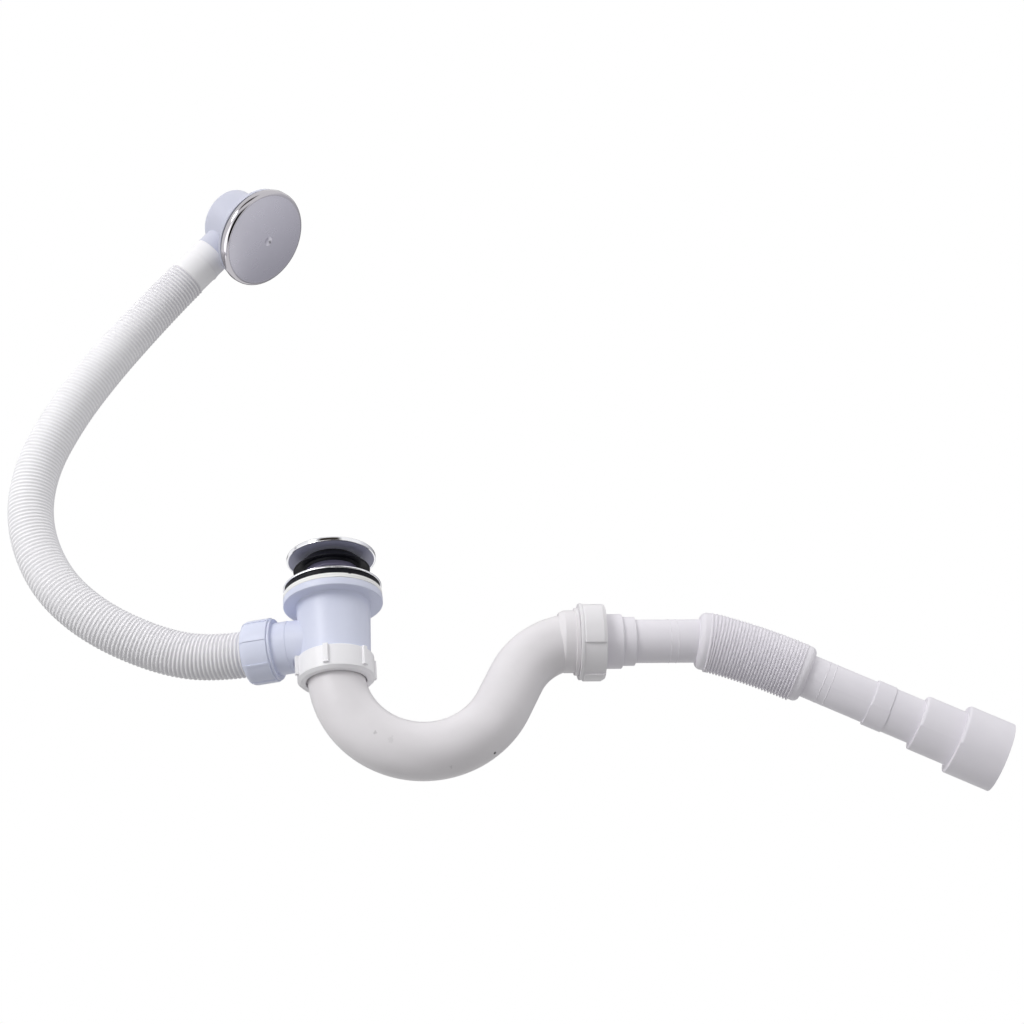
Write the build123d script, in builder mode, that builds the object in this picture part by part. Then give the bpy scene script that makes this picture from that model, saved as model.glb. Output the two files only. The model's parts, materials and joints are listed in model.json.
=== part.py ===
"""Bath waste and overflow: pop-up plug, clamped waste, trap, flexible outlet and overflow hose.

The frame is the installed one. The origin is on the waste's axis at the bath seat, the underside
of the chrome flange. +Z is up along the waste's axis and +X points towards the outlet.
Lengths are in millimetres and angles in degrees.
"""
import os
from math import cos, radians, sin, tan

from build123d import *

os.makedirs("parts", exist_ok=True)

# Clearances
running_fit = 0.08
seat_fit = 0.2
travel_gap = 0.4

# Tubes that the other radii are worked out from
trap_radius = 20.0
trap_wall = 2.4
pipe_radius = 15.4
pipe_wall = 2.2
hose_bore = 13.6
hose_wall = 2.9

# Waste body
body_length = 56.3
body_wall = 3.3
body_taper = 1.6
body_flange_overhang = 0.3
body_flange_thick = 5.4
body_fillet = 1.0
body_edge = 0.6
body_shelf_width = 1.9

# Side branch of the waste body
branch_swing = 14.0
branch_drop = 31.7
neck_wall = 4.6
neck_gap = 0.4
neck_reach = 4.6
branch_cone_length = 0.5
branch_collar_height = 0.4
branch_collar_length = 10.2
branch_ring_height = 3.2
branch_ring_thick = 1.8
branch_thread_length = 11.2

# Waste flange
flange_edge = 1.5
flange_land = 7.0
seat_width = 5.2
seat_drop = 0.6
throat_drop = 5.6
tail_wall = 2.5
tail_length = 26.0
tail_root = 4.0
tail_shelf_gap = 1.0
spider_arms = 4
spider_width = 3.0
spider_height = 5.0
boss_wall = 3.0
boss_height = 8.0

# Rings clamped under the flange
gasket_inset = 1.2
gasket_thick = 4.2
washer_overhang = 0.2
washer_thick = 3.5
notch_width = 2.2
notch_depth = 0.9
notch_angle = -68.0

# Hose nut and its seal
hose_nut_wall = 4.2
hose_nut_length = 20.6
hose_nut_round = 5.4
hose_nut_ribs = 8
hose_rib_height = 0.6
hose_rib_angle = 3.4
hose_rib_start = -137.0
hose_lip_gap = 0.5
hose_seal_length = 4.0

# Pop-up plug
cap_overhang = 4.0
cap_edge = 3.3
cap_dome = 2.7
cap_lift = 21.5
cap_lip_height = 0.4
cap_lip_width = 0.8
cap_stub_radius = 3.0
cap_stub_length = 9.0
seal_height = 9.0
seal_lip_inset = 0.5
seal_lip_thick = 1.2
seal_neck_wall = 6.6
hub_gap = 1.2
hub_neck_radius = 12.0
hub_disc = 3.6
hub_cone = 6.0
hub_foot_wall = 2.8
stem_radius = 6.0
stem_length = 50.0

# Click sleeve, its pin and its spring
sleeve_wall = 2.4
sleeve_floor = 3.0
sleeve_head = 6.0
sleeve_collar_width = 2.0
sleeve_collar_thick = 2.5
pin_radius = 1.0
pin_below_top = 3.0
groove_depth = 2.8
spring_wire = 1.1
spring_gap = 1.2
spring_turns = 5
spring_length = 20.0

# Trap nut and its seal
trap_nut_height = 17.6
trap_nut_grip = 9.6
trap_nut_wall = 2.0
trap_nut_bevel = 2.2
trap_nut_lugs = 6
trap_lug_height = 2.15
trap_lug_width = 3.8
trap_lug_length = 13.5
trap_lug_angle = -102.4
trap_seal_thick = 2.0
trap_seal_width = 6.0

# Trap
trap_rim_width = 4.2
trap_rim_thick = 3.0
trap_rim_gap = 0.5
trap_lip_gap = 1.3
bend_radius = 61.0
rise_angle = 60.0
rise_length = 21.5
outlet_bend_radius = 51.0
outlet_fall = 3.5
collar_height = 2.2
collar_length = 11.2
collar_bevel = 4.0
stop_ring_height = 4.0
stop_ring_thick = 3.0
stop_ring_start = -3.7
outlet_thread_height = 2.4
outlet_thread_length = 9.6

# Union nut and its seal
union_wall = 3.9
union_length = 18.2
union_lugs = 3
union_lug_height = 1.6
union_lug_angle = 64.0
union_lug_start = 171.0
union_lug_bevel = 0.9
union_lug_slope = 2.6
union_rim_length = 2.4
union_rim_height = 0.7
union_lip_gap = 0.3
union_seal_thick = 1.5
union_seal_width = 4.4

# Flexible connector, its stepped tail and pipe
tail_flange_thick = 3.0
tail_step_inset = 2.8
tail_step_length = 16.8
tail_small_length = 9.3
pipe_length = 48.1
mark_height = 0.25
mark_width = 0.9
mark_gap = 5.2
pipe_mark = 24.3

# Flexible connector, its bellows
bellows_rise = 5.0
fold_count = 29
fold_pitch = 2.36
fold_height = 0.9
fold_base = 2.2
fold_crest = 0.7
fold_sink = 0.6
fold_lean = 0.5
shoulder_length = 3.6
shoulder_reach = 3.0
shoulder_kink = 9.0
bellows_wall = 1.8
tight_bend_radius = 45.0
tight_bend_angle = 8.0
slack_bend_angle = 9.0

# Flexible connector, its stepped end
end_pipe_length = 49.4
end_mark = 14.2
end_collar_height = 1.4
end_collar_length = 14.0
end_neck_height = 0.7
end_neck_length = 21.2
end_step_height = 4.6
end_step_length = 28.4
end_wall = 1.5
cup_radius = 25.0
cup_wall = 1.3
cup_length = 32.6
cup_depth = 30.0
parting_angle = 61.0
soft_edge = 2.2
crisp_edge = 0.6

# Overflow head
head_point = Vector(-61.45, 8.0, 341.4)
plate_azimuth = -22.3
plate_elevation = -45.0
spigot_roll = 7.85
plate_radius = 40.4
plate_depth = 5.8
plate_round = 3.4
plate_wall = 1.8
plate_dome = 4.0
dimple_radius = 3.7
dimple_depth = 1.4
plate_boss_wall = 2.4
plate_boss_length = 9.0
head_flange_inset = 1.5
head_flange_gap = 2.8
head_flange_thick = 3.0
head_gasket_inset = 2.0
head_gasket_width = 9.5
head_gasket_thick = 2.2
head_radius = 26.4
head_wall = 3.0
head_round = 3.0
spigot_inset = 1.3
spigot_reach = 34.0
spigot_front_gap = 3.2
spigot_back_gap = 0.7
bridge_width = 9.0
bridge_thick = 6.0
bridge_setback = 8.4
insert_wall = 2.0
insert_length = 8.0
insert_boss_wall = 2.0
screw_radius = 3.0
screw_tip = 4.0
screw_recess = 3.0

# Overflow hose
hose_head_run = 42.0
hose_nut_run = 34.0
arc_share = 0.45
hose_points = [
    Vector(-145.3, 20.0, 250.2),
    Vector(-174.3, 20.0, 210.4),
    Vector(-198.4, 20.0, 170.6),
    Vector(-218.0, 20.0, 125.0),
    Vector(-221.0, 20.0, 78.0),
    Vector(-204.0, 20.0, 31.0),
    Vector(-172.0, 21.0, -3.4),
    Vector(-126.0, 25.0, -28.2),
]

# Radii of the waste, from the trap's tube outwards
trap_rim_radius = trap_radius + trap_rim_width
body_foot_radius = trap_rim_radius + trap_rim_gap
body_radius = body_foot_radius + body_taper
body_bore = body_radius - body_wall
outlet_bore = body_bore - body_shelf_width
tail_radius = body_bore - seat_fit
tail_bore = tail_radius - tail_wall
seat_radius = tail_radius + seat_width
flange_radius = seat_radius + flange_land
body_flange_radius = flange_radius + body_flange_overhang
trap_nut_bore = body_foot_radius + seat_fit
trap_nut_radius = trap_nut_bore + trap_nut_wall

# Radii of the plug and its sleeve
cap_radius = seat_radius + cap_overhang
seal_lip_radius = seat_radius - seal_lip_inset
seal_bore = hub_neck_radius + seat_fit
hub_radius = tail_bore - hub_gap
hub_bore = stem_radius + seat_fit
sleeve_bore = stem_radius + running_fit
sleeve_radius = sleeve_bore + sleeve_wall
boss_bore = sleeve_radius + seat_fit
boss_radius = boss_bore + boss_wall
groove_floor = stem_radius - groove_depth
groove_half_width = pin_radius + travel_gap
spring_radius = sleeve_bore - spring_gap - spring_wire / 2

# Levels down the waste's axis
gasket_bottom = -gasket_thick
body_top = gasket_bottom - washer_thick
body_flange_bottom = body_top - body_flange_thick
body_bottom = body_top - body_length
body_shelf = -tail_length - tail_shelf_gap
trap_top = body_bottom - trap_seal_thick
trap_nut_top = body_bottom + trap_nut_grip
trap_nut_bottom = trap_nut_top - trap_nut_height
trap_nut_shoulder = trap_top - trap_rim_thick
neck_floor = trap_nut_top + neck_gap
boss_top = -tail_length + boss_height

# Levels of the raised plug
cap_bottom = flange_edge + cap_lift
cap_under = cap_bottom + cap_lip_height
seal_bottom = cap_under - seal_height
hub_disc_bottom = seal_bottom - hub_disc
hub_bottom = hub_disc_bottom - hub_cone
stem_bottom = cap_under - stem_length
plug_travel = seal_bottom - (flange_edge - seat_drop) - travel_gap
spring_seat = stem_bottom - spring_length
sleeve_top = boss_top + sleeve_collar_thick + sleeve_head
sleeve_bottom = spring_seat - sleeve_floor
pin_level = sleeve_top - pin_below_top

# Radii and places along the side branch
hose_radius = hose_bore + hose_wall
neck_radius = hose_bore + neck_wall
branch_collar_radius = neck_radius + branch_collar_height
branch_thread_radius = branch_collar_radius - seat_fit
branch_ring_radius = branch_collar_radius + branch_ring_height
branch_level = body_top - branch_drop
neck_end = body_radius + neck_reach
branch_collar_start = neck_end + branch_cone_length
branch_ring_start = branch_collar_start + branch_collar_length
branch_thread_start = branch_ring_start + branch_ring_thick
branch_end = branch_thread_start + branch_thread_length
hose_nut_bore = branch_thread_radius + seat_fit
hose_nut_radius = hose_nut_bore + hose_nut_wall
hose_nut_end = branch_thread_start + hose_nut_length
hose_seal_end = branch_end + hose_seal_length

# Radii and places along the trap's outlet
collar_radius = trap_radius + collar_height
outlet_thread_radius = trap_radius + outlet_thread_height
outlet_thread_start = stop_ring_start + stop_ring_thick
outlet_thread_end = outlet_thread_start + outlet_thread_length
union_bore = outlet_thread_radius + seat_fit
union_radius = union_bore + union_wall
union_end = outlet_thread_start + union_length
tail_flange_start = outlet_thread_end + union_seal_thick
tail_flange_end = tail_flange_start + tail_flange_thick
tail_flange_radius = outlet_thread_radius - seat_fit
tail_step_radius = tail_flange_radius - tail_step_inset
tail_small_radius = (tail_step_radius + pipe_radius) / 2
tail_step_end = tail_flange_end + tail_step_length
tail_small_end = tail_step_end + tail_small_length
pipe_end = tail_small_end + pipe_length
pipe_bore = pipe_radius - pipe_wall

# Radii and places of the bellows and the stepped end
fold_valley = pipe_radius + bellows_rise
fold_top = fold_valley + fold_height
bellows_bore = fold_valley - bellows_wall
shoulder_round = 0.9 * bellows_rise
fold_root = fold_valley - fold_sink
folds_length = fold_count * fold_pitch
end_collar_radius = pipe_radius + end_collar_height
end_neck_radius = pipe_radius + end_neck_height
end_step_radius = pipe_radius + end_step_height
cup_bore = cup_radius - cup_wall
end_collar_end = end_pipe_length + end_collar_length
end_neck_end = end_collar_end + end_neck_length
end_step_end = end_neck_end + end_step_length
cup_end = end_step_end + cup_length
cup_floor = cup_end - cup_depth

# Radii and depths of the overflow head, measured back from the plate's face
spigot_radius = hose_radius - spigot_inset
head_flange_front = plate_depth + head_flange_gap
head_flange_back = head_flange_front + head_flange_thick
head_flange_radius = plate_radius - head_flange_inset
head_gasket_radius = head_flange_radius - head_gasket_inset
spigot_depth = head_flange_back + spigot_front_gap + spigot_radius
head_depth = spigot_depth + spigot_radius + spigot_back_gap
head_bore = head_radius - head_wall
plate_inner = plate_radius - plate_wall
dome_edge = plate_inner - plate_wall
screw_hole = screw_radius + seat_fit
plate_boss_radius = screw_hole + plate_boss_wall
bridge_front = head_flange_back + bridge_setback
bridge_back = bridge_front + bridge_thick
insert_radius = screw_hole + insert_wall
insert_front = bridge_front - (insert_length - bridge_thick) / 2
insert_back = insert_front + insert_length
insert_bore = insert_radius + running_fit
insert_boss_radius = insert_bore + insert_boss_wall
screw_end = insert_back + screw_tip


def profile_plane(origin, along, out):
    """Plane whose x runs along an axis of revolution and whose y is the radius."""
    along_axis = Vector(along)
    return Plane(origin=origin, x_dir=along_axis, z_dir=along_axis.cross(Vector(out)))


def turned(plane, outline, arc=360.0, mode=Mode.ADD):
    """Revolve an outline about the plane's x axis.

    Each corner is (along, radius), or (along, radius, rounding).
    """
    corners = [corner[:2] for corner in outline]
    roundings = [corner[2] if len(corner) > 2 else 0.0 for corner in outline]
    with BuildSketch(plane) as section:
        with BuildLine():
            FilletPolyline(*corners, radius=roundings, close=True)
        make_face()
    revolve(section.sketch.faces(), Axis(plane.origin, plane.x_dir), arc, mode=mode)


def ring(plane, start, end, inner, outer, rounding=0.0, mode=Mode.ADD):
    """Revolve a plain ring between two places along the plane's x axis."""
    corners = [(start, inner), (end, inner), (end, outer, rounding), (start, outer, rounding)]
    turned(plane, corners, mode=mode)


def rod(plane, start, end, radius, mode=Mode.ADD):
    """Revolve a plain rod, or the hole for one, along the plane's x axis."""
    turned(plane, [(start, 0), (end, 0), (end, radius), (start, radius)], mode=mode)


def swept(path, start, direction, radius, mode=Mode.ADD):
    """Sweep a circle along a path from its start."""
    with BuildSketch(Plane(origin=start, z_dir=direction)) as section:
        Circle(radius)
    sweep(section.sketch.faces(), path=path.wire(), mode=mode)


def place(plane, along, out=0.0):
    """Point at a distance along a profile plane's axis, and out from it."""
    return plane.origin + plane.x_dir * along + plane.y_dir * out


def spun(plane, angle):
    """The profile plane turned about its own axis."""
    out = plane.y_dir * cos(radians(angle)) + plane.z_dir * sin(radians(angle))
    return profile_plane(plane.origin, plane.x_dir, out)


def heading(angle):
    """Unit vector in the XZ plane, turned up from +X."""
    return Vector(cos(radians(angle)), 0, sin(radians(angle)))


def bend_shift(radius, start_angle, end_angle):
    """Step from the start to the end of a bend in the XZ plane that turns downwards."""
    return (heading(end_angle - 90) - heading(start_angle - 90)) * -radius


# Axes of revolution of the waste and its branch
waste = profile_plane((0, 0, 0), (0, 0, 1), (1, 0, 0))
branch_axis = Vector(-cos(radians(branch_swing)), sin(radians(branch_swing)), 0)
branch = profile_plane((0, 0, branch_level), branch_axis, (0, 0, 1))

# Axes of the overflow head: the plate's own, and the spigot's across it
plate_axis = Vector(
    cos(radians(plate_azimuth)) * cos(radians(plate_elevation)),
    sin(radians(plate_azimuth)) * cos(radians(plate_elevation)),
    sin(radians(plate_elevation)),
)
plate_side = Vector(0, 0, 1).cross(plate_axis).normalized()
plate_rise = plate_axis.cross(plate_side)
spigot_axis = -plate_rise * cos(radians(spigot_roll)) - plate_side * sin(radians(spigot_roll))
head = profile_plane(head_point + plate_axis * spigot_depth, -plate_axis, spigot_axis)
spigot = profile_plane(head_point, spigot_axis, plate_axis)

# Centre line of the trap
bend_start = Vector(0, 0, trap_top)
rise_start = Vector(bend_radius, 0, trap_top) + heading(rise_angle - 90) * bend_radius
rise_end = rise_start + heading(rise_angle) * rise_length
outlet_start = rise_end + bend_shift(outlet_bend_radius, rise_angle, -outlet_fall)
outlet = profile_plane(outlet_start, heading(-outlet_fall), heading(90 - outlet_fall))
with BuildLine() as trap_path:
    TangentArc(bend_start, rise_start, tangent=(0, 0, -1))
    Line(rise_start, rise_end)
    TangentArc(rise_end, outlet_start, tangent=heading(rise_angle))
    Line(outlet_start, place(outlet, outlet_thread_end))

# Centre line of the bellows, kinked at the pipe's end, then a tight bend and a slack one
kink_angle = -outlet_fall - shoulder_kink
tight_angle = kink_angle - tight_bend_angle
end_angle = tight_angle - slack_bend_angle
tight_length = tight_bend_radius * radians(tight_bend_angle)
slack_bend_radius = (folds_length - tight_length) / radians(slack_bend_angle)
shoulder = profile_plane(place(outlet, pipe_end), heading(kink_angle), heading(kink_angle + 90))
folds_start = place(shoulder, shoulder_length)
folds_turn = folds_start + bend_shift(tight_bend_radius, kink_angle, tight_angle)
folds_end = folds_turn + bend_shift(slack_bend_radius, tight_angle, end_angle)
bellows_end = folds_end + heading(end_angle) * shoulder_length
stepped_end = profile_plane(bellows_end, heading(end_angle), heading(end_angle + 90))
with BuildLine() as folds_path:
    TangentArc(folds_start, folds_turn, tangent=heading(kink_angle))
    TangentArc(folds_turn, folds_end, tangent=heading(tight_angle))


def fold_plane(distance):
    """Profile plane of a fold, set lower so that it stands prouder inside the bend."""
    if distance < tight_length:
        angle = kink_angle - tight_bend_angle * distance / tight_length
        centre = folds_start + bend_shift(tight_bend_radius, kink_angle, angle)
    else:
        share = (distance - tight_length) / (folds_length - tight_length)
        angle = tight_angle - slack_bend_angle * share
        centre = folds_turn + bend_shift(slack_bend_radius, tight_angle, angle)
    rise = heading(angle + 90)
    return profile_plane(centre - rise * fold_lean, heading(angle), rise)


# Chrome waste flange with its dished seat, tail and spider
with BuildPart() as waste_flange:
    edge_round = 0.4 * flange_edge
    turned(
        waste,
        [
            (0, flange_radius, edge_round),
            (flange_edge, flange_radius, edge_round),
            (flange_edge - seat_drop, seat_radius),
            (flange_edge - throat_drop, tail_bore),
            (-tail_length, tail_bore),
            (-tail_length, tail_radius),
            (-tail_root, tail_radius),
            (0, seat_radius),
        ],
    )
    with BuildSketch(Plane.XY.offset(-tail_length)):
        with PolarLocations((boss_bore + tail_radius) / 2, spider_arms):
            Rectangle(tail_bore - boss_bore, spider_width)
    extrude(amount=spider_height)
    ring(waste, -tail_length, boss_top, boss_bore, boss_radius)
    rod(waste, -tail_length, boss_top, boss_bore, Mode.SUBTRACT)
waste_flange.part.label = "waste_flange"
export_step(waste_flange.part, "parts/waste_flange.step")

# Rubber gasket under the flange
with BuildPart() as flange_gasket:
    ring(waste, gasket_bottom, 0, seat_radius + seat_fit, flange_radius - gasket_inset, 0.8)
flange_gasket.part.label = "flange_gasket"
export_step(flange_gasket.part, "parts/flange_gasket.step")

# Foam washer on the waste body, with one notch in its top edge
with BuildPart() as body_washer:
    washer_radius = flange_radius + washer_overhang
    ring(waste, body_top, gasket_bottom, body_bore, washer_radius, 0.4)
    with BuildSketch(Plane.XY.offset(gasket_bottom - notch_depth)):
        with PolarLocations(washer_radius, 1, start_angle=notch_angle):
            Rectangle(notch_width, notch_width)
    extrude(amount=notch_depth, mode=Mode.SUBTRACT)
body_washer.part.label = "body_washer"
export_step(body_washer.part, "parts/body_washer.step")

# Waste body with the side branch for the overflow, cut back below to clear the trap nut
with BuildPart() as waste_body:
    turned(
        waste,
        [
            (body_top, 0),
            (body_top, body_flange_radius, body_edge),
            (body_flange_bottom, body_flange_radius, body_edge),
            (body_flange_bottom, body_radius, body_fillet),
            (neck_floor, body_foot_radius),
            (body_bottom, body_foot_radius),
            (body_bottom, 0),
        ],
    )
    turned(
        branch,
        [
            (0, 0),
            (0, neck_radius),
            (neck_end, neck_radius),
            (branch_collar_start, branch_collar_radius),
            (branch_ring_start, branch_collar_radius),
            (branch_ring_start, branch_ring_radius, 0.5),
            (branch_thread_start, branch_ring_radius, 0.5),
            (branch_thread_start, branch_thread_radius),
            (branch_end, branch_thread_radius),
            (branch_end, 0),
        ],
    )
    nut_room = trap_nut_radius + trap_lug_height + neck_gap
    ring(waste, body_bottom, neck_floor, body_foot_radius, nut_room, mode=Mode.SUBTRACT)
    rod(waste, body_shelf, body_top, body_bore, Mode.SUBTRACT)
    rod(waste, body_bottom, body_shelf, outlet_bore, Mode.SUBTRACT)
    rod(branch, 0, branch_end, hose_bore, Mode.SUBTRACT)
waste_body.part.label = "waste_body"
export_step(waste_body.part, "parts/waste_body.step")

# Nut that holds the hose on the branch, with thin grip ribs over its rounded end
with BuildPart() as hose_nut:
    hose_lip_bore = hose_radius + hose_lip_gap
    rib_radius = hose_nut_radius + hose_rib_height
    turned(
        branch,
        [
            (branch_thread_start, hose_nut_bore),
            (branch_thread_start, hose_nut_radius, 0.8),
            (hose_nut_end, hose_nut_radius, hose_nut_round),
            (hose_nut_end, hose_lip_bore),
            (hose_seal_end, hose_lip_bore),
            (hose_seal_end, hose_nut_bore),
        ],
    )
    for rib in range(hose_nut_ribs):
        rib_plane = spun(branch, hose_rib_start + 360 * rib / hose_nut_ribs - hose_rib_angle / 2)
        turned(
            rib_plane,
            [
                (branch_thread_start + hose_rib_height, hose_lip_bore + hose_rib_height),
                (branch_thread_start + hose_rib_height, rib_radius),
                (hose_nut_end, rib_radius, hose_nut_round + hose_rib_height / 2),
                (hose_nut_end, hose_lip_bore + hose_rib_height / 2),
                (hose_nut_end - hose_rib_height, hose_lip_bore + hose_rib_height / 2),
            ],
            arc=hose_rib_angle,
        )
    rod(branch, branch_thread_start, hose_seal_end, hose_nut_bore, Mode.SUBTRACT)
hose_nut.part.label = "hose_nut"
export_step(hose_nut.part, "parts/hose_nut.step")

# Seal squeezed round the hose by its nut
with BuildPart() as hose_seal:
    ring(branch, branch_end, hose_seal_end, hose_radius + seat_fit, branch_thread_radius)
hose_seal.part.label = "hose_seal"
export_step(hose_seal.part, "parts/hose_seal.step")

# Chrome plug cap, a shallow dome with a rolled lip and a stub to hold it
with BuildPart() as plug_cap:
    cap_shoulder = cap_bottom + cap_edge
    turned(
        waste,
        [
            (cap_under - cap_stub_length, 0),
            (cap_under - cap_stub_length, cap_stub_radius),
            (cap_under, cap_stub_radius),
            (cap_under, cap_radius - 2 * cap_lip_width),
            (cap_bottom, cap_radius - cap_lip_width),
            (cap_bottom, cap_radius, 0.3),
            (cap_shoulder, cap_radius, 1.5),
            (cap_shoulder + 0.6 * cap_dome, 0.7 * cap_radius, 60),
            (cap_shoulder + cap_dome, 0),
        ],
    )
plug_cap.part.label = "plug_cap"
export_step(plug_cap.part, "parts/plug_cap.step")

# Umbrella seal of the plug
with BuildPart() as plug_seal:
    seal_neck = hub_neck_radius + seal_neck_wall
    lip_level = seal_bottom + seal_lip_thick / 2
    turned(
        waste,
        [
            (cap_under, seal_bore),
            (cap_under, seal_neck),
            (lip_level, seal_lip_radius),
            (seal_bottom, seal_lip_radius - seal_lip_thick / 4),
            (seal_bottom, seal_lip_radius - seal_lip_thick),
            (lip_level + seal_lip_thick, hub_radius + seal_lip_thick, 0.6),
            (seal_bottom, hub_radius),
            (seal_bottom, seal_bore),
        ],
    )
plug_seal.part.label = "plug_seal"
export_step(plug_seal.part, "parts/plug_seal.step")

# Hub that carries the seal under the cap
with BuildPart() as plug_hub:
    turned(
        waste,
        [
            (cap_under, hub_bore),
            (cap_under, hub_neck_radius),
            (seal_bottom, hub_neck_radius),
            (seal_bottom, hub_radius, 0.6),
            (hub_disc_bottom, hub_radius, 0.8),
            (hub_bottom, hub_bore + hub_foot_wall),
            (hub_bottom, hub_bore),
        ],
    )
plug_hub.part.label = "plug_hub"
export_step(plug_hub.part, "parts/plug_hub.step")

# Stem of the plug, with the groove that the latch pin runs in
with BuildPart() as plug_stem:
    rod(waste, stem_bottom, cap_under, stem_radius)
    stub_floor = cap_under - cap_stub_length - seat_fit
    rod(waste, stub_floor, cap_under, cap_stub_radius + seat_fit, Mode.SUBTRACT)
    with BuildSketch(Plane.XY.offset(pin_level - groove_half_width)):
        with Locations((0, groove_floor + groove_depth)):
            Rectangle(2 * groove_half_width, 2 * groove_depth)
    extrude(amount=plug_travel + 2 * groove_half_width, mode=Mode.SUBTRACT)
plug_stem.part.label = "plug_stem"
export_step(plug_stem.part, "parts/plug_stem.step")

# Click sleeve that guides the stem, hung in the flange's spider
with BuildPart() as click_sleeve:
    rod(waste, sleeve_bottom, sleeve_top, sleeve_radius)
    rod(waste, boss_top, boss_top + sleeve_collar_thick, sleeve_radius + sleeve_collar_width)
    rod(waste, spring_seat, sleeve_top, sleeve_bore, Mode.SUBTRACT)
    with BuildSketch(Plane.XZ):
        with Locations((0, pin_level)):
            Circle(pin_radius + running_fit)
    extrude(amount=-sleeve_radius, mode=Mode.SUBTRACT)
click_sleeve.part.label = "click_sleeve"
export_step(click_sleeve.part, "parts/click_sleeve.step")

# Latch pin, from the stem's groove out to the sleeve's face
with BuildPart() as latch_pin:
    pin_tip = groove_floor + travel_gap
    with BuildSketch(Plane.XZ.offset(-pin_tip)):
        with Locations((0, pin_level)):
            Circle(pin_radius)
    extrude(amount=pin_tip - sleeve_radius)
latch_pin.part.label = "latch_pin"
export_step(latch_pin.part, "parts/latch_pin.step")

# Coil spring under the stem
with BuildPart() as plug_spring:
    spring_end_gap = spring_wire / 2 + running_fit
    coil_height = spring_length - 2 * spring_end_gap
    with BuildLine() as coil:
        Helix(
            pitch=coil_height / spring_turns,
            height=coil_height,
            radius=spring_radius,
            center=(0, 0, spring_seat + spring_end_gap),
        )
    with BuildSketch(Plane(origin=coil.wire() @ 0, z_dir=coil.wire() % 0)):
        Circle(spring_wire / 2)
    sweep(path=coil.wire(), is_frenet=True)
plug_spring.part.label = "plug_spring"
export_step(plug_spring.part, "parts/plug_spring.step")

# Nut that clamps the trap under the waste body, with lugs for the hand
with BuildPart() as trap_nut:
    trap_lip_bore = trap_radius + trap_lip_gap
    turned(
        waste,
        [
            (trap_nut_top, trap_nut_bore),
            (trap_nut_top, trap_nut_radius, 0.6),
            (trap_nut_bottom + trap_nut_bevel, trap_nut_radius),
            (trap_nut_bottom, trap_nut_radius - trap_nut_bevel, 0.8),
            (trap_nut_bottom, trap_lip_bore),
            (trap_nut_shoulder, trap_lip_bore),
            (trap_nut_shoulder, trap_nut_bore),
        ],
    )
    with BuildSketch(Plane.XY.offset(trap_nut_top - trap_lug_length)):
        with PolarLocations(trap_nut_radius, trap_nut_lugs, start_angle=trap_lug_angle):
            RectangleRounded(2 * trap_lug_height, trap_lug_width, 0.7)
    extrude(amount=trap_lug_length)
    rod(waste, trap_nut_shoulder, trap_nut_top, trap_nut_bore, Mode.SUBTRACT)
trap_nut.part.label = "trap_nut"
export_step(trap_nut.part, "parts/trap_nut.step")

# Flat seal between the waste body and the trap
with BuildPart() as trap_seal:
    ring(waste, trap_top, body_bottom, trap_rim_radius - trap_seal_width, trap_rim_radius)
trap_seal.part.label = "trap_seal"
export_step(trap_seal.part, "parts/trap_seal.step")

# Trap: one bent tube with its rim, collar, stop ring and outlet thread
with BuildPart() as trap_bend:
    swept(trap_path, bend_start, (0, 0, -1), trap_radius)
    rod(waste, trap_nut_shoulder, trap_top, trap_rim_radius)
    collar_start = stop_ring_start - collar_length
    turned(
        outlet,
        [
            (collar_start, 0),
            (collar_start, trap_radius),
            (collar_start + collar_bevel, collar_radius, 0.6),
            (stop_ring_start, collar_radius),
            (stop_ring_start, trap_radius + stop_ring_height, 0.6),
            (outlet_thread_start, trap_radius + stop_ring_height, 0.6),
            (outlet_thread_start, outlet_thread_radius),
            (outlet_thread_end, outlet_thread_radius),
            (outlet_thread_end, 0),
        ],
    )
    swept(trap_path, bend_start, (0, 0, -1), trap_radius - trap_wall, Mode.SUBTRACT)
trap_bend.part.label = "trap_bend"
export_step(trap_bend.part, "parts/trap_bend.step")

# Union nut on the trap's outlet, with a rim and wide bevelled lugs
with BuildPart() as union_nut:
    union_lip_bore = tail_step_radius + union_lip_gap
    union_outer = union_radius + union_lug_height
    rim_end = outlet_thread_start + union_rim_length
    turned(
        outlet,
        [
            (outlet_thread_start, union_bore),
            (outlet_thread_start, union_radius + union_rim_height, 0.5),
            (rim_end, union_radius + union_rim_height, 0.5),
            (rim_end, union_radius),
            (union_end, union_radius, union_lug_bevel),
            (union_end, union_lip_bore),
            (tail_flange_end, union_lip_bore),
            (tail_flange_end, union_bore),
        ],
    )
    for lug in range(union_lugs):
        turned(
            spun(outlet, union_lug_start + 360 * lug / union_lugs),
            [
                (rim_end, union_radius - union_lug_height),
                (rim_end, union_outer - union_lug_bevel),
                (rim_end + union_lug_bevel, union_outer),
                (union_end - union_lug_slope, union_outer),
                (union_end, union_radius),
                (union_end, union_radius - union_lug_height),
            ],
            arc=union_lug_angle,
        )
    rod(outlet, outlet_thread_start, tail_flange_end, union_bore, Mode.SUBTRACT)
union_nut.part.label = "union_nut"
export_step(union_nut.part, "parts/union_nut.step")

# Flat seal in the union
with BuildPart() as union_seal:
    seal_inner = tail_flange_radius - union_seal_width
    ring(outlet, outlet_thread_end, tail_flange_start, seal_inner, tail_flange_radius)
union_seal.part.label = "union_seal"
export_step(union_seal.part, "parts/union_seal.step")

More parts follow.
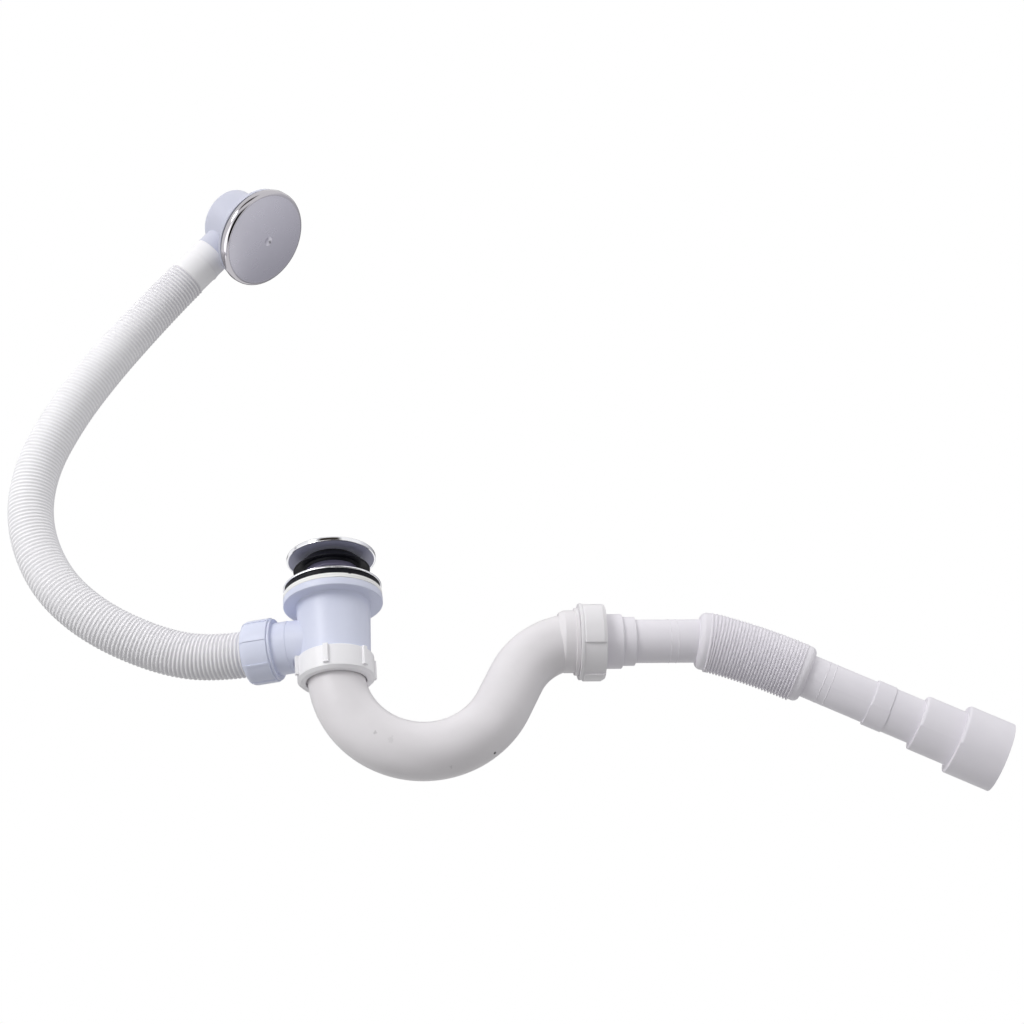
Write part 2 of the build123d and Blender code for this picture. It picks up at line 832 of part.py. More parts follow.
# Flexible connector, blown as one piece: stepped tail, pipe, bellows, pipe and stepped cup.
# The halves of its mould differ: the steps have soft edges above and crisp ones below.
with BuildPart() as flexible_connector:
    turned(
        outlet,
        [
            (tail_flange_start, 0),
            (tail_flange_start, tail_flange_radius),
            (tail_flange_end, tail_flange_radius),
            (tail_flange_end, tail_step_radius),
            (tail_step_end, tail_step_radius, 0.8),
            (tail_step_end, tail_small_radius),
            (tail_small_end, tail_small_radius, 0.8),
            (tail_small_end, pipe_radius),
            (pipe_end + shoulder_length / 2, pipe_radius),
            (pipe_end + shoulder_length / 2, 0),
        ],
    )
    turned(
        shoulder,
        [
            (-shoulder_reach, 0),
            (-shoulder_reach, fold_valley, shoulder_round),
            (shoulder_length, fold_valley),
            (shoulder_length, 0),
        ],
    )
    swept(folds_path, folds_start, heading(kink_angle), fold_valley)
    for fold in range(fold_count):
        turned(
            fold_plane((fold + 0.5) * fold_pitch),
            [
                (-fold_base / 2, fold_root),
                (fold_base / 2, fold_root),
                (fold_crest / 2, fold_top),
                (-fold_crest / 2, fold_top),
            ],
        )
    for half_start, edge in ((-parting_angle, soft_edge), (180 - parting_angle, crisp_edge)):
        turned(
            spun(stepped_end, half_start),
            [
                (-shoulder_length, 0),
                (-shoulder_length, fold_valley),
                (shoulder_reach, fold_valley, shoulder_round),
                (shoulder_reach, pipe_radius),
                (end_pipe_length, pipe_radius),
                (end_pipe_length, end_collar_radius, edge / 2),
                (end_collar_end, end_collar_radius, edge / 4),
                (end_collar_end, end_neck_radius),
                (end_neck_end, end_neck_radius),
                (end_neck_end, end_step_radius, edge),
                (end_step_end, end_step_radius),
                (end_step_end, cup_radius, edge),
                (cup_end, cup_radius),
                (cup_end, 0),
            ],
            arc=180.0,
        )
    for plane, first_mark in ((outlet, tail_small_end + pipe_mark), (stepped_end, end_mark)):
        for mark in (first_mark, first_mark + mark_gap):
            turned(
                plane,
                [
                    (mark - mark_width / 2, pipe_bore),
                    (mark - mark_width / 2, pipe_radius),
                    (mark, pipe_radius + mark_height),
                    (mark + mark_width / 2, pipe_radius),
                    (mark + mark_width / 2, pipe_bore),
                ],
            )
    turned(
        outlet,
        [
            (tail_flange_start, 0),
            (tail_flange_start, tail_step_radius - pipe_wall),
            (tail_step_end - pipe_wall, tail_step_radius - pipe_wall),
            (tail_step_end - pipe_wall, tail_small_radius - pipe_wall),
            (tail_small_end - pipe_wall, tail_small_radius - pipe_wall),
            (tail_small_end - pipe_wall, pipe_bore),
            (pipe_end + shoulder_length / 2, pipe_bore),
            (pipe_end + shoulder_length / 2, 0),
        ],
        mode=Mode.SUBTRACT,
    )
    rod(shoulder, 0, shoulder_length, bellows_bore, Mode.SUBTRACT)
    rod(stepped_end, -shoulder_length, 0, bellows_bore, Mode.SUBTRACT)
    swept(folds_path, folds_start, heading(kink_angle), bellows_bore, Mode.SUBTRACT)
    turned(
        stepped_end,
        [
            (-shoulder_length, 0),
            (-shoulder_length, pipe_bore),
            (end_neck_end + end_wall, pipe_bore),
            (end_neck_end + end_wall, end_step_radius - end_wall),
            (cup_floor, end_step_radius - end_wall),
            (cup_floor, cup_bore),
            (cup_end, cup_bore),
            (cup_end, 0),
        ],
        mode=Mode.SUBTRACT,
    )
flexible_connector.part.label = "flexible_connector"
export_step(flexible_connector.part, "parts/flexible_connector.step")

# Body of the overflow head: flange, round case, spigot and the bridge for the screw
with BuildPart() as overflow_body:
    turned(
        head,
        [
            (head_flange_front, 0),
            (head_flange_front, head_flange_radius, 0.6),
            (head_flange_back, head_flange_radius, 0.6),
            (head_flange_back, head_radius, 1.0),
            (head_depth, head_radius, head_round),
            (head_depth, 0),
        ],
    )
    rod(spigot, 0, spigot_reach, spigot_radius)
    rod(head, head_flange_front, head_depth - head_wall, head_bore, Mode.SUBTRACT)
    rod(spigot, 0, spigot_reach, hose_bore, Mode.SUBTRACT)
    with BuildSketch(Plane(origin=place(head, bridge_front), x_dir=head.z_dir, z_dir=head.x_dir)):
        Rectangle(2 * head_bore + head_wall, bridge_width)
    extrude(amount=bridge_thick)
    rod(head, bridge_front, bridge_back, insert_boss_radius)
    rod(head, bridge_front, bridge_back, insert_bore, Mode.SUBTRACT)
overflow_body.part.label = "overflow_body"
export_step(overflow_body.part, "parts/overflow_body.step")

# Soft ring between the overflow's flange and the bath's wall
with BuildPart() as overflow_gasket:
    gasket_front = head_flange_front - head_gasket_thick
    gasket_inner = head_gasket_radius - head_gasket_width
    ring(head, gasket_front, head_flange_front, gasket_inner, head_gasket_radius, 0.5)
overflow_gasket.part.label = "overflow_gasket"
export_step(overflow_gasket.part, "parts/overflow_gasket.step")

# Overflow plate, a shallow round cover with a domed face, a dimple and a boss behind it
with BuildPart() as overflow_plate:
    turned(
        head,
        [
            (0, dome_edge),
            (0, plate_radius, plate_round),
            (plate_depth, plate_radius),
            (plate_depth, plate_inner),
            (plate_wall, plate_inner),
            (plate_wall, dome_edge),
        ],
    )
    dome_radius = (dome_edge**2 + plate_dome**2) / (2 * plate_dome)
    with BuildSketch(head):
        with BuildLine():
            RadiusArc((-plate_dome, 0), (0, dome_edge), dome_radius)
            Line((0, dome_edge), (plate_wall, dome_edge))
            RadiusArc((plate_wall, dome_edge), (plate_wall - plate_dome, 0), -dome_radius)
            Line((plate_wall - plate_dome, 0), (-plate_dome, 0))
        make_face()
    revolve(axis=Axis(head.origin, head.x_dir))
    rod(head, plate_wall / 2 - plate_dome, plate_boss_length, plate_boss_radius)
    rod(head, screw_recess, plate_boss_length, screw_hole, Mode.SUBTRACT)
    dimple_sphere = (dimple_radius**2 + dimple_depth**2) / (2 * dimple_depth)
    with Locations(place(head, dimple_depth - plate_dome - dimple_sphere)):
        Sphere(dimple_sphere, mode=Mode.SUBTRACT)
overflow_plate.part.label = "overflow_plate"
export_step(overflow_plate.part, "parts/overflow_plate.step")

# Screw from the plate's boss to the bridge
with BuildPart() as overflow_screw:
    rod(head, screw_recess, screw_end, screw_radius)
overflow_screw.part.label = "overflow_screw"
export_step(overflow_screw.part, "parts/overflow_screw.step")

# Threaded insert in the bridge
with BuildPart() as overflow_insert:
    ring(head, insert_front, insert_back, screw_hole, insert_radius)
overflow_insert.part.label = "overflow_insert"
export_step(overflow_insert.part, "parts/overflow_insert.step")

# Overflow hose, from the head's spigot to the waste body's branch
hose_start = place(spigot, spigot_reach)
hose_end = place(branch, branch_end)
route = [hose_start, place(spigot, spigot_reach + hose_head_run)]
route += hose_points
route += [place(branch, branch_end + hose_nut_run), hose_end]
hose_radii = []
for before, corner, after in zip(route, route[1:], route[2:]):
    half_turn = (corner - before).get_angle(after - corner) / 2
    shorter_run = min((corner - before).length, (after - corner).length)
    hose_radii.append(arc_share * shorter_run / tan(radians(half_turn)))
with BuildLine() as hose_path:
    FilletPolyline(*route, radius=hose_radii)
with BuildPart() as overflow_hose:
    swept(hose_path, hose_start, spigot_axis, hose_radius)
    swept(hose_path, hose_start, spigot_axis, hose_bore, Mode.SUBTRACT)
overflow_hose.part.label = "overflow_hose"
export_step(overflow_hose.part, "parts/overflow_hose.step")

print("hose radii", [round(radius, 1) for radius in hose_radii])
print("hose length", round(hose_path.wire().length, 1))
print("plug travel", round(plug_travel, 2))
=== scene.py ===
"""Looks of a bath waste and overflow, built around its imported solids. Lengths are in metres."""
import json
from math import cos, exp, pi, radians, sin

import bpy
import numpy as np
from mathutils import Matrix, Vector


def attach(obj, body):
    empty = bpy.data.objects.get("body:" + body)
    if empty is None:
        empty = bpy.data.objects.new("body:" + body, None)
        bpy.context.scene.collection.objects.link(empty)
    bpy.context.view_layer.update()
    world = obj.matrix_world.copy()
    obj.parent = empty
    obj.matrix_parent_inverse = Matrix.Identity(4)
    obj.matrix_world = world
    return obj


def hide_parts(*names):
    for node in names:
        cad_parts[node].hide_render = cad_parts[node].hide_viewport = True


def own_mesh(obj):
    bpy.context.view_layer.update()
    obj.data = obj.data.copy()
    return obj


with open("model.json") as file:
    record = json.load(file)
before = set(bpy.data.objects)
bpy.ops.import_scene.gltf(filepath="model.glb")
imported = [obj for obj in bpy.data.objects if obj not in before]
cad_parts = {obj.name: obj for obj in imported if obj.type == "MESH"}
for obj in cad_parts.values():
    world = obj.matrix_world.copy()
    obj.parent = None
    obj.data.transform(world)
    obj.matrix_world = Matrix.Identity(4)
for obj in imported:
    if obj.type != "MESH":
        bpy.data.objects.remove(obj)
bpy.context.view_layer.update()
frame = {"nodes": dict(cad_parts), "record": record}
nodes = frame["nodes"]

# Camera: the axes of its view, the point it looks at, and its distance from there
VIEW_RIGHT = Vector((0.99400806, -0.05661506, -0.09350248))
VIEW_UP = Vector((0.05376297, -0.49156189, 0.86918148))
VIEW_BACK = Vector((-0.09517102, -0.86900037, -0.48557269))
VIEW_TARGET = Vector((0.13429, 0.0, 0.05565))
VIEW_DISTANCE = 1.18363
LENS_MM = 56.25
SENSOR_MM = 36.0

# Overflow hose: its route is the solid's own, from the head's spigot to the waste's branch
HOSE_ROUTE = [
    (-0.085247, 0.012741, 0.317584),
    (-0.114644, 0.018598, 0.288164),
    (-0.1453, 0.0200, 0.2502),
    (-0.1743, 0.0200, 0.2104),
    (-0.1984, 0.0200, 0.1706),
    (-0.2180, 0.0200, 0.1250),
    (-0.2210, 0.0200, 0.0780),
    (-0.2040, 0.0200, 0.0310),
    (-0.1720, 0.0210, -0.0034),
    (-0.1260, 0.0250, -0.0282),
    (-0.085968, 0.021434, -0.0394),
    (-0.052978, 0.013209, -0.0394),
]
HOSE_LENGTH = 0.506
HOSE_RADIUS = 0.0165
HOSE_HEAD_RADIUS = 0.0157
HOSE_GROWTH = 0.12
HOSE_BORE = 0.0136
HOSE_PITCH = 0.00296
HOSE_RIDGE = 0.0012
HOSE_MIDDLE_SHARE = 0.35
HOSE_HEAD_FADE = 0.09
HOSE_NUT_FADE = 0.17
HOSE_STEPS = 8
HOSE_SIDES = 64
CUFF_LENGTH = 0.030
CUFF_RADIUS = 0.0150
CUFF_BEAD = 0.0005
CUFF_BEAD_AT = 0.013
CUFF_BEAD_WIDTH = 0.0016

# Overflow plate: its axis, the middle of its face, and the radii of its satin face and its dimple
PLATE_AXIS = (0.65422, -0.26832, -0.70711)
PLATE_FACE = Vector((-0.041823, -0.000049, 0.320187))
PLATE_FLAT_RADIUS = 0.0369
PLATE_EDGE_BLUR = 0.0005
DIMPLE_RADIUS = 0.0042

# Plug cap: the radius and level inside which its underside is slate grey and not metallic, and the span
# of the painted reflection there, a paler ring round the seal
CAP_UNDER_RADIUS = 0.0309
CAP_UNDER_LEVEL = 0.0240
CAP_UNDER_BLUR = 0.0003
CAP_SEAL_RADIUS = 0.0186
CAP_PAINTED_REFLECTION_RADIUS = 0.0250

# Marks on the trap's bend: place, reach, and how dark each is
TRAP_MARKS = [
    (Vector((0.02446, -0.01972, -0.11895)), 0.0017, 0.24),
    (Vector((0.03488, -0.01982, -0.12402)), 0.0026, 0.10),
    (Vector((0.07388, -0.01026, -0.14307)), 0.0016, 0.16),
    (Vector((0.10462, -0.00519, -0.13339)), 0.0015, 0.95),
]

# Studio: a sky that is darker below, one soft lamp, a floor far down, and cards that fade at their edges
FLOOR_LEVEL = -0.85
FLOOR_SIZE = 14.0
FLOOR_FADE_START = 0.5
FLOOR_FADE_END = 2.4
SKY_LOW = 0.40
SKY_HIGH = 0.91
SKY_TURN = 0.75
KEY_WATTS = 25.0
KEY_SIZE = 1.0
KEY_DISTANCE = 2.5
KEY_DIRECTION = Vector((-0.63, -0.69, 0.35))
STUDIO_CENTRE = Vector((0.0, 0.0, 0.1))
CARD_FADE = 0.5
WHITE = (1.0, 1.0, 1.0, 1.0)
BLACK = (0.0, 0.0, 0.0, 1.0)
GLARE = (2.2, 2.2, 2.2, 1.0)
UP = (0.0, 0.0, 1.0)
MIDDLE = (0.0, 0.0, 0.0)


def srgb(red, green, blue):
    """Linear colour from display values of 0 to 255."""
    shares = (red / 255, green / 255, blue / 255)
    linear = [s / 12.92 if s <= 0.04045 else ((s + 0.055) / 1.055) ** 2.4 for s in shares]
    return (*linear, 1.0)


class Finish:
    """One procedural material: a Principled shader and the nodes that feed it."""

    def __init__(self, name, **sockets):
        self.material = bpy.data.materials.new(name)
        self.material.use_nodes = True
        self.tree = self.material.node_tree
        self.shader = self.tree.nodes["Principled BSDF"]
        self.place = self.node("ShaderNodeTexCoord").outputs["Object"]
        for socket, value in sockets.items():
            self.shader.inputs[socket.replace("_", " ")].default_value = value

    def node(self, kind, **settings):
        """New node with its properties set."""
        made = self.tree.nodes.new(kind)
        for name, value in settings.items():
            setattr(made, name, value)
        return made

    def feed(self, socket, value):
        """Give a socket a link or a plain value."""
        if isinstance(value, bpy.types.NodeSocket):
            self.tree.links.new(value, socket)
        else:
            socket.default_value = value

    def math(self, operation, first, second=0.0):
        """Result of a math node."""
        made = self.node("ShaderNodeMath", operation=operation)
        self.feed(made.inputs[0], first)
        self.feed(made.inputs[1], second)
        return made.outputs[0]

    def noise(self, scale, detail=2.0, stretch=(1.0, 1.0, 1.0)):
        """Noise over the object's own coordinates, from 0 to 1."""
        mapping = self.node("ShaderNodeMapping")
        self.feed(mapping.inputs["Vector"], self.place)
        mapping.inputs["Scale"].default_value = stretch
        made = self.node("ShaderNodeTexNoise")
        self.feed(made.inputs["Vector"], mapping.outputs["Vector"])
        made.inputs["Scale"].default_value = scale
        made.inputs["Detail"].default_value = detail
        return made.outputs["Fac"]

    def spread(self, value, low, high, to_low=0.0, to_high=1.0):
        """Value between two limits, mapped smoothly to a new span."""
        made = self.node("ShaderNodeMapRange", interpolation_type="SMOOTHSTEP")
        for socket, given in zip(made.inputs, (value, low, high, to_low, to_high)):
            self.feed(socket, given)
        return made.outputs["Result"]

    def mix(self, share, first, second):
        """Colour between two colours."""
        made = self.node("ShaderNodeMix", data_type="RGBA")
        self.feed(made.inputs["Factor"], share)
        self.feed(made.inputs[6], first)
        self.feed(made.inputs[7], second)
        return made.outputs[2]

    def along(self, axis):
        """Distance along an axis from the origin."""
        made = self.node("ShaderNodeVectorMath", operation="DOT_PRODUCT")
        self.feed(made.inputs[0], self.place)
        made.inputs[1].default_value = axis
        return made.outputs["Value"]

    def off_axis(self, axis, origin):
        """Distance from an axis through a point."""
        offset = self.node("ShaderNodeVectorMath", operation="SUBTRACT")
        self.feed(offset.inputs[0], self.place)
        offset.inputs[1].default_value = origin
        crossed = self.node("ShaderNodeVectorMath", operation="CROSS_PRODUCT")
        self.feed(crossed.inputs[0], offset.outputs[0])
        crossed.inputs[1].default_value = axis
        length = self.node("ShaderNodeVectorMath", operation="LENGTH")
        self.feed(length.inputs[0], crossed.outputs[0])
        return length.outputs["Value"]

    def spot(self, place, reach):
        """Mask of a ragged spot: 1 at a place, 0 beyond its reach."""
        gap = self.node("ShaderNodeVectorMath", operation="DISTANCE")
        self.feed(gap.inputs[0], self.place)
        gap.inputs[1].default_value = place
        rough = self.noise(scale=1.2 / reach, detail=3.0)
        ragged = self.spread(rough, 0.3, 0.7, -0.4 * reach, 0.4 * reach)
        return self.spread(self.math("ADD", gap.outputs["Value"], ragged), reach, 0.5 * reach)

    def colour(self, value):
        """Colour of the surface."""
        self.feed(self.shader.inputs["Base Color"], value)

    def roughness(self, value):
        """Roughness of the surface."""
        self.feed(self.shader.inputs["Roughness"], value)

    def bump(self, *layers):
        """Bump from (height, depth in metres) layers."""
        normal = None
        for height, depth in layers:
            made = self.node("ShaderNodeBump")
            self.feed(made.inputs["Height"], height)
            made.inputs["Distance"].default_value = depth
            if normal is not None:
                self.feed(made.inputs["Normal"], normal)
            normal = made.outputs["Normal"]
        self.feed(self.shader.inputs["Normal"], normal)


def moulded_plastic(name, tone, shade, gloss=0.34, scuffs=0.5, marks=()):
    """White moulded plastic: a cloud of two tones, fine grain, faint scuffs, and single dark marks."""
    finish = Finish(name, Specular_IOR_Level=0.3)
    cloud = finish.noise(scale=22.0, detail=4.0)
    grain = finish.noise(scale=1400.0, detail=3.0)
    rubbed = finish.noise(scale=75.0, detail=6.0, stretch=(1.0, 2.2, 0.6))
    scuff = finish.spread(rubbed, 0.60, 0.78, 0.0, scuffs)
    ground = finish.mix(finish.spread(cloud, 0.25, 0.75), tone, shade)
    ground = finish.mix(scuff, ground, shade)
    for place, reach, depth in marks:
        share = finish.math("MULTIPLY", finish.spot(place, reach), depth)
        ground = finish.mix(share, ground, srgb(48, 46, 50))
    finish.colour(ground)
    grained = finish.spread(grain, 0.2, 0.8, gloss - 0.05, gloss + 0.05)
    finish.roughness(finish.math("ADD", grained, finish.math("MULTIPLY", scuff, 0.12)))
    waves = finish.noise(scale=48.0, detail=1.0)
    finish.bump((grain, 0.000006), (waves, 0.00012))
    return finish.material


def hose_plastic():
    """Ridged hose: white, with painted shade in the grooves."""
    finish = Finish("hose_plastic", Specular_IOR_Level=0.35)
    cloud = finish.noise(scale=30.0, detail=3.0)
    grain = finish.noise(scale=1600.0, detail=2.0)
    ridge_shade = finish.node("ShaderNodeAttribute", attribute_name="ridge_shade").outputs["Fac"]
    ground = finish.mix(cloud, srgb(246, 245, 247), srgb(241, 240, 243))
    # Painted shade: the grooves are darker than the crests, most of all near the ends.
    finish.colour(finish.mix(ridge_shade, srgb(212, 210, 216), ground))
    finish.roughness(finish.spread(grain, 0.2, 0.8, 0.42, 0.55))
    finish.bump((grain, 0.000008))
    return finish.material


def black_rubber():
    """Black rubber with a fine grain and a little dust."""
    finish = Finish("black_rubber", Specular_IOR_Level=0.12)
    dust = finish.noise(scale=160.0, detail=5.0)
    grain = finish.noise(scale=1800.0, detail=2.0)
    finish.colour(finish.mix(finish.spread(dust, 0.45, 0.9), srgb(19, 20, 27), srgb(31, 32, 39)))
    finish.roughness(finish.spread(grain, 0.2, 0.8, 0.38, 0.52))
    finish.bump((grain, 0.00002))
    return finish.material


def foam_washer():
    """Cream foam, cut from sheet: fine layers round its edge and open pores."""
    finish = Finish("cream_foam", Specular_IOR_Level=0.2)
    layers = finish.noise(scale=300.0, detail=2.0, stretch=(0.15, 0.15, 9.0))
    pores = finish.noise(scale=2400.0, detail=3.0)
    finish.colour(finish.mix(finish.spread(layers, 0.3, 0.7), srgb(246, 246, 244), srgb(232, 232, 233)))
    finish.roughness(finish.spread(pores, 0.2, 0.8, 0.7, 0.9))
    finish.bump((pores, 0.00003), (layers, 0.00008))
    return finish.material


def smeared_chrome(finish):
    """Faint smears on polished chrome, and the chrome's colour under them."""
    finish.bump((finish.noise(scale=500.0, detail=2.0), 0.000001))
    smear = finish.noise(scale=140.0, detail=5.0, stretch=(1.0, 0.5, 2.0))
    return smear, finish.mix(smear, srgb(244, 244, 246), srgb(232, 233, 238))


def chrome():
    """Polished chrome with faint smears."""
    finish = Finish("chrome", Metallic=1.0)
    smear, bright = smeared_chrome(finish)
    finish.colour(bright)
    finish.roughness(finish.spread(smear, 0.4, 0.8, 0.04, 0.13))
    return finish.material


def cap_chrome():
    """Chrome cap: polished outside, slate grey and not metallic underneath, with a painted reflection as
    a paler ring round the seal.
    """
    finish = Finish("cap_chrome")
    smear, bright = smeared_chrome(finish)
    off_axis = finish.off_axis(UP, MIDDLE)
    inside = finish.spread(off_axis, CAP_UNDER_RADIUS, CAP_UNDER_RADIUS - CAP_UNDER_BLUR)
    below = finish.spread(finish.along(UP), CAP_UNDER_LEVEL, CAP_UNDER_LEVEL - CAP_UNDER_BLUR)
    under = finish.math("MULTIPLY", inside, below)
    # Painted reflection: the slate underside turns paler in a ring round the seal.
    painted_reflection = finish.spread(off_axis, CAP_PAINTED_REFLECTION_RADIUS, CAP_SEAL_RADIUS)
    slate = finish.mix(smear, srgb(176, 177, 204), srgb(164, 165, 190))
    slate = finish.mix(painted_reflection, slate, srgb(214, 216, 232))
    finish.colour(finish.mix(under, bright, slate))
    finish.feed(finish.shader.inputs["Metallic"], finish.math("SUBTRACT", 1.0, under))
    polish = finish.spread(smear, 0.4, 0.8, 0.04, 0.12)
    finish.roughness(finish.math("ADD", polish, finish.math("MULTIPLY", under, 0.3)))
    return finish.material


def plate_chrome():
    """Overflow plate: satin face with a duller dimple and a polished edge."""
    finish = Finish("plate_chrome", Metallic=1.0)
    smear = finish.noise(scale=90.0, detail=5.0)
    fine = finish.noise(scale=2600.0, detail=2.0)
    off_axis = finish.off_axis(PLATE_AXIS, PLATE_FACE)
    edge = finish.spread(off_axis, PLATE_FLAT_RADIUS, PLATE_FLAT_RADIUS + PLATE_EDGE_BLUR)
    satin = finish.mix(smear, srgb(206, 204, 213), srgb(201, 199, 208))
    finish.colour(finish.mix(edge, satin, srgb(190, 187, 192)))
    satin_gloss = finish.spread(smear, 0.3, 0.7, 0.27, 0.30)
    dimple_dulling = finish.spread(off_axis, DIMPLE_RADIUS, DIMPLE_RADIUS - PLATE_EDGE_BLUR, 0.0, 0.13)
    edge_polish = finish.math("MULTIPLY", edge, 0.2)
    dulled = finish.math("ADD", satin_gloss, dimple_dulling)
    finish.roughness(finish.math("SUBTRACT", dulled, edge_polish))
    finish.bump((fine, 0.0000003))
    return finish.material


def hub_plastic():
    """Violet-grey moulded hub of the plug."""
    finish = Finish("grey_plastic", Specular_IOR_Level=0.4)
    cloud = finish.noise(scale=120.0, detail=4.0)
    grain = finish.noise(scale=1500.0, detail=2.0)
    finish.colour(finish.mix(cloud, srgb(128, 124, 150), srgb(108, 104, 130)))
    finish.roughness(finish.spread(grain, 0.2, 0.8, 0.3, 0.45))
    finish.bump((grain, 0.00001))
    return finish.material


def turned_metal(name, tone, shade, gloss):
    """Turned or drawn metal: fine rings across its axis and dull patches."""
    finish = Finish(name, Metallic=1.0)
    rings = finish.noise(scale=900.0, detail=2.0, stretch=(0.1, 0.1, 4.0))
    dull = finish.noise(scale=160.0, detail=5.0)
    finish.colour(finish.mix(finish.spread(dull, 0.3, 0.75), tone, shade))
    finish.roughness(finish.spread(dull, 0.3, 0.8, gloss, gloss + 0.15))
    finish.bump((rings, 0.00001))
    return finish.material


def dress_nodes():
    """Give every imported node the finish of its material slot, or one of its own."""
    finishes = {
        "chrome": chrome(),
        "satin_chrome": plate_chrome(),
        "black_rubber": black_rubber(),
        "grey_plastic": hub_plastic(),
        "brass": turned_metal("brass", srgb(206, 170, 104), srgb(178, 140, 80), 0.22),
        "steel": turned_metal("steel", srgb(200, 200, 204), srgb(160, 160, 166), 0.25),
        "cream_foam": foam_washer(),
        "cool_white_plastic": moulded_plastic(
            "cool_white_plastic", srgb(221, 225, 243), srgb(213, 217, 236)
        ),
        "warm_white_plastic": moulded_plastic(
            "warm_white_plastic", srgb(236, 234, 237), srgb(228, 226, 229)
        ),
        "connector_plastic": moulded_plastic(
            "connector_plastic", srgb(234, 231, 237), srgb(227, 224, 231), gloss=0.4
        ),
        "hose_plastic": hose_plastic(),
    }
    own_finishes = {
        "plug_cap": cap_chrome(),
        "trap_bend": moulded_plastic(
            "bend_plastic", srgb(232, 229, 232), srgb(224, 221, 224), marks=TRAP_MARKS
        ),
        "trap_nut": moulded_plastic("nut_plastic", srgb(246, 245, 248), srgb(240, 239, 242)),
        # Painted shade: the overflow head gets its own, darker white plastic, as it sits nearer the lamp
        # than the other parts.
        "overflow_body": moulded_plastic("head_plastic_painted_shade", srgb(208, 210, 225), srgb(201, 203, 218)),
    }
    for row in frame["record"]["subparts"]:
        node = row["node"]
        mesh = nodes[node].data
        mesh.materials.clear()
        mesh.materials.append(own_finishes.get(node, finishes[row["material_slot"]]))
    return finishes


def placed_camera():
    """Camera at the photograph's viewing angle."""
    data = bpy.data.cameras.new("camera")
    data.lens = LENS_MM
    data.sensor_width = SENSOR_MM
    camera = bpy.data.objects.new("camera", data)
    turn = Matrix((VIEW_RIGHT, VIEW_UP, VIEW_BACK)).transposed().to_4x4()
    camera.matrix_world = Matrix.Translation(VIEW_TARGET + VIEW_BACK * VIEW_DISTANCE) @ turn
    bpy.context.scene.collection.objects.link(camera)
    bpy.context.scene.camera = camera


def mesh_object(name, points, faces):
    """New smooth-shaded mesh object."""
    mesh = bpy.data.meshes.new(name)
    mesh.from_pydata(points, [], faces)
    mesh.update()
    mesh.shade_smooth()
    made = bpy.data.objects.new(name, mesh)
    bpy.context.scene.collection.objects.link(made)
    return made


def route_points(name, route):
    """Points along the NURBS spline that has the route's points as its control points."""
    curve = bpy.data.curves.new(name, "CURVE")
    curve.dimensions = "3D"
    curve.resolution_u = 48
    spline = curve.splines.new("NURBS")
    spline.points.add(len(route) - 1)
    for point, place in zip(spline.points, route):
        point.co = (*place, 1.0)
    spline.order_u = 3
    spline.use_endpoint_u = True
    holder = bpy.data.objects.new(name, curve)
    bpy.context.scene.collection.objects.link(holder)
    bpy.context.view_layer.update()
    mesh = bpy.data.meshes.new_from_object(holder)
    points = np.array([vertex.co for vertex in mesh.vertices])
    bpy.data.objects.remove(holder)
    bpy.data.curves.remove(curve)
    bpy.data.meshes.remove(mesh)
    return points


def carried_frames(points):
    """Two cross directions at each point of a line, carried along it without twist."""
    tangents = np.gradient(points, axis=0)
    tangents /= np.linalg.norm(tangents, axis=1)[:, None]
    across = np.cross(tangents[0], (0.0, 1.0, 0.0))
    sides = []
    for tangent in tangents:
        across = across - tangent * np.dot(across, tangent)
        across = across / np.linalg.norm(across)
        sides.append(across)
    sides = np.array(sides)
    return sides, np.cross(tangents, sides)


def ring_points(line, distances, radii):
    """Rings of points round a line, one at each distance along it."""
    steps = np.linalg.norm(np.diff(line, axis=0), axis=1)
    travelled = np.concatenate(([0.0], np.cumsum(steps)))
    centres = np.stack([np.interp(distances, travelled, line[:, axis]) for axis in range(3)], axis=1)
    sides, ups = carried_frames(centres)
    angles = np.arange(HOSE_SIDES) * 2 * pi / HOSE_SIDES
    spokes = np.cos(angles)[:, None] * sides[:, None] + np.sin(angles)[:, None] * ups[:, None]
    return (centres[:, None] + spokes * np.array(radii)[:, None, None]).reshape(-1, 3)


def ring_faces(rings):
    """Quads between rings of points that follow each other, the last joined to the first."""
    faces = []
    for ring in range(rings):
        low = ring * HOSE_SIDES
        high = (ring + 1) % rings * HOSE_SIDES
        for side in range(HOSE_SIDES):
            step = (side + 1) % HOSE_SIDES
            faces.append((high + side, high + step, low + step, low + side))
    return faces


def ridge_at(distance):
    """Height on the ridges at a distance along the hose: 1 on a crest, and 0 in a groove near an end."""
    past_cuff = distance - CUFF_LENGTH
    if past_cuff < 0:
        return 1.0
    near_end = max(0.0, 1 - past_cuff / HOSE_HEAD_FADE, 1 - (HOSE_LENGTH - distance) / HOSE_NUT_FADE)
    depth = HOSE_MIDDLE_SHARE + (1 - HOSE_MIDDLE_SHARE) * min(1.0, near_end)
    wave = 0.5 + 0.5 * cos(2 * pi * past_cuff / HOSE_PITCH)
    return 1 - depth * (1 - wave)


def hose_radius_at(distance):
    """Outer radius of the hose: a smooth cuff with a bead, then ridges on a tube that widens."""
    if distance < CUFF_LENGTH:
        return CUFF_RADIUS + CUFF_BEAD * exp(-(((distance - CUFF_BEAD_AT) / CUFF_BEAD_WIDTH) ** 2))
    share = min(1.0, (distance - CUFF_LENGTH) / HOSE_GROWTH)
    crest = HOSE_HEAD_RADIUS + (HOSE_RADIUS - HOSE_HEAD_RADIUS) * share
    return crest - HOSE_RIDGE * (1 - ridge_at(distance))


